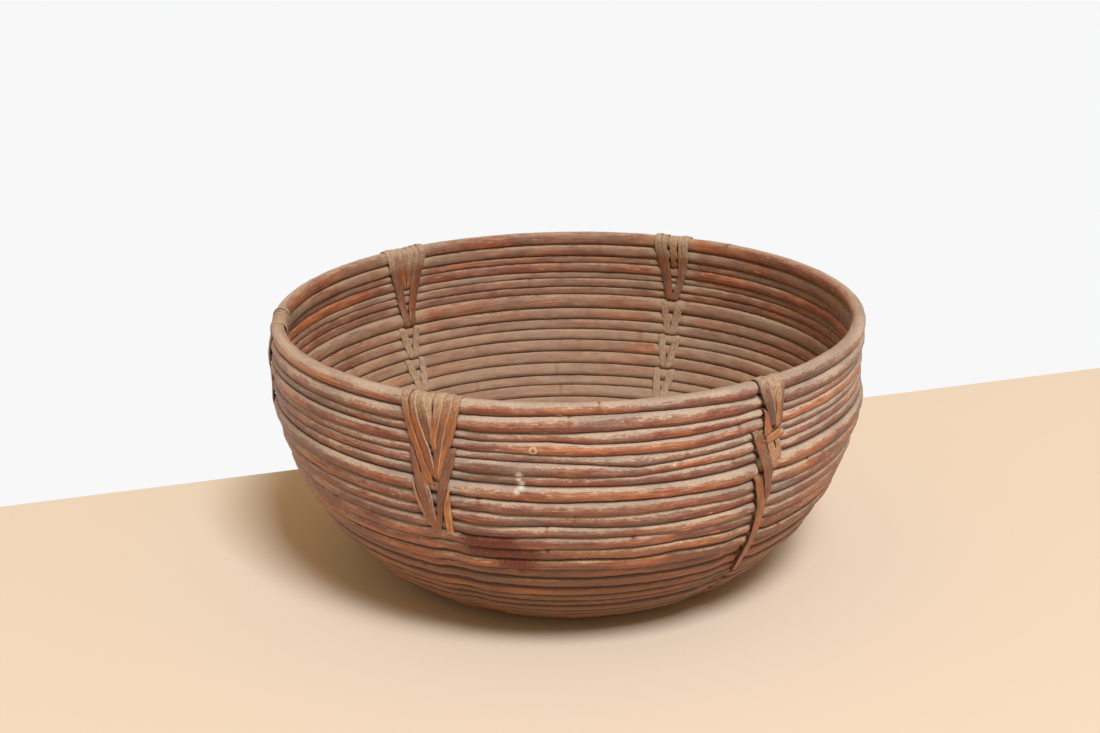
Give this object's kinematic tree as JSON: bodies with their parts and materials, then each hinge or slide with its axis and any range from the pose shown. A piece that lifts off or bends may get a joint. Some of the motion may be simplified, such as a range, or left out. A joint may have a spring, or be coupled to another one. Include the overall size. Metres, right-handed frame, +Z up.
{
  "type": "wicker basket",
  "caption": "Round open basket of stacked rattan hoops with a coiled base, bound by columns of split-cane lashing.",
  "frame": {"origin": "middle of the foot, on the ground", "axes": "+Z up along the basket's axis; -Y is the front, where the lashing at the front left and the seam at the front right show"},
  "size_m": [0.3513, 0.3511, 0.1609],
  "materials": {
    "cane": "worn satin rattan bark, red-brown under dust",
    "base_cane": "worn satin rattan bark, paler",
    "split_cane": "split rattan, fibrous satin"
  },
  "bodies": {
    "root": {"rim_hoop": "cane", "hoop_02": "cane", "hoop_03": "cane", "hoop_04": "cane", "hoop_05": "cane", "hoop_06": "cane", "hoop_07": "cane", "hoop_08": "cane", "hoop_09": "cane", "hoop_10": "cane", "hoop_11": "cane", "hoop_12": "cane", "hoop_13": "cane", "hoop_14": "cane", "hoop_15": "cane", "hoop_16": "cane", "hoop_17": "cane", "hoop_18": "cane", "hoop_19": "cane", "hoop_20": "cane", "hoop_21": "cane", "hoop_22": "cane", "hoop_23": "cane", "hoop_24": "cane", "hoop_25": "cane", "foot_hoop": "cane", "base_coil": "base_cane", "front_left_rim_lashing": "split_cane", "front_left_tie_1": "split_cane", "front_left_tie_2": "split_cane", "front_right_rim_lashing": "split_cane", "front_right_tie_1": "split_cane", "front_right_tie_2": "split_cane", "back_right_rim_lashing": "split_cane", "back_right_tie_1": "split_cane", "back_right_tie_2": "split_cane", "back_left_rim_lashing": "split_cane", "back_left_tie_1": "split_cane", "back_left_tie_2": "split_cane", "left_rim_lashing": "split_cane", "left_tie_1": "split_cane", "left_tie_2": "split_cane"}
  },
  "joints": []
}
